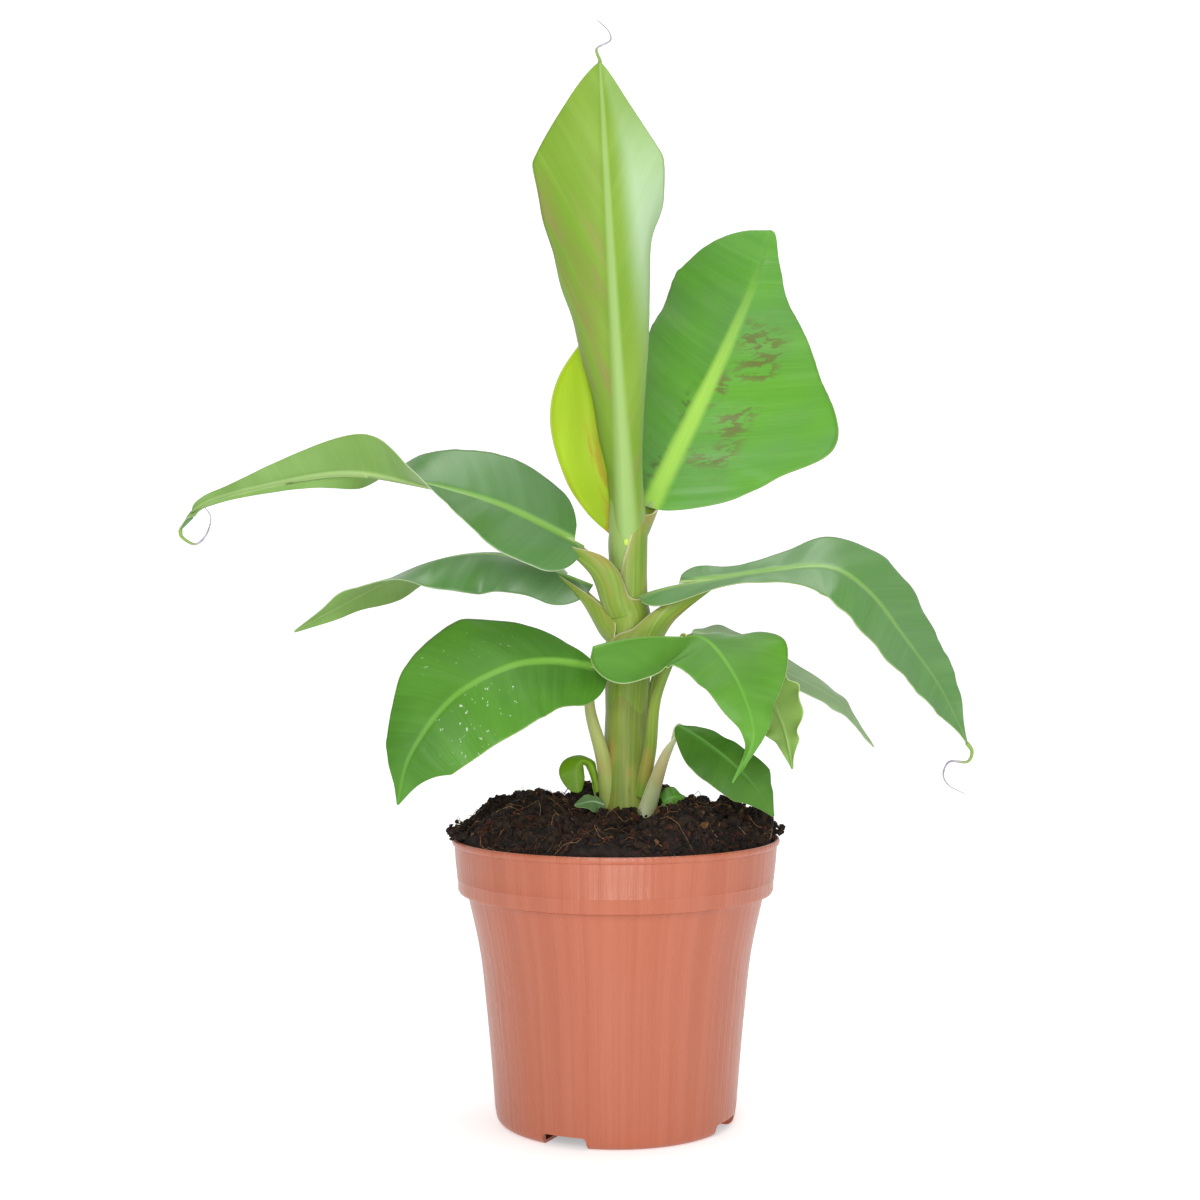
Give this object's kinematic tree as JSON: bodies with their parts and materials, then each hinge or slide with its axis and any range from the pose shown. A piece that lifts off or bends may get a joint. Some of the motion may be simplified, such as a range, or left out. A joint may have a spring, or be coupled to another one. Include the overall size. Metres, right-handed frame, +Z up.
{
  "type": "potted dwarf banana plant",
  "caption": "Young potted banana plant: a short leaf-sheath stem with broad arching leaves on grooved stalks, an upright half-rolled top leaf, in a round plastic nursery pot of soil.",
  "frame": {"origin": "centre of the pot's flat underside, at ground level, on the pot's axis", "axes": "+Z is up along the pot's axis and the stem, -Y is the plant's broad front, +X is to the right seen from the front"},
  "size_m": [0.4025, 0.1714, 0.5608],
  "materials": {
    "pot": "satin",
    "soil": "rough",
    "stem": "satin",
    "leaf": "satin",
    "leaf_young": "satin",
    "dry_tip": "matte"
  },
  "bodies": {
    "root": {"pot": "pot", "soil": "soil", "pseudostem": "stem", "petiole_upper_right": "stem", "petiole_upper_left": "stem", "petiole_right": "stem", "petiole_middle_left": "stem", "petiole_lower_left": "stem", "petiole_front": "stem", "petiole_back_right": "stem", "petiole_lower_right": "stem", "leaf_top": "leaf_young", "leaf_upper_right": "leaf", "leaf_upper_left": "leaf", "leaf_middle_left": "leaf", "leaf_lower_left": "leaf", "leaf_front": "leaf", "leaf_right": "leaf", "leaf_back_right": "leaf", "leaf_back_hanging": "leaf", "leaf_low_right": "leaf", "leaf_low_left": "leaf", "leaf_scrap_left": "leaf", "leaf_scrap_right": "leaf", "tip_thread_top": "dry_tip", "tip_thread_left": "dry_tip", "tip_thread_right": "dry_tip"}
  },
  "joints": []
}
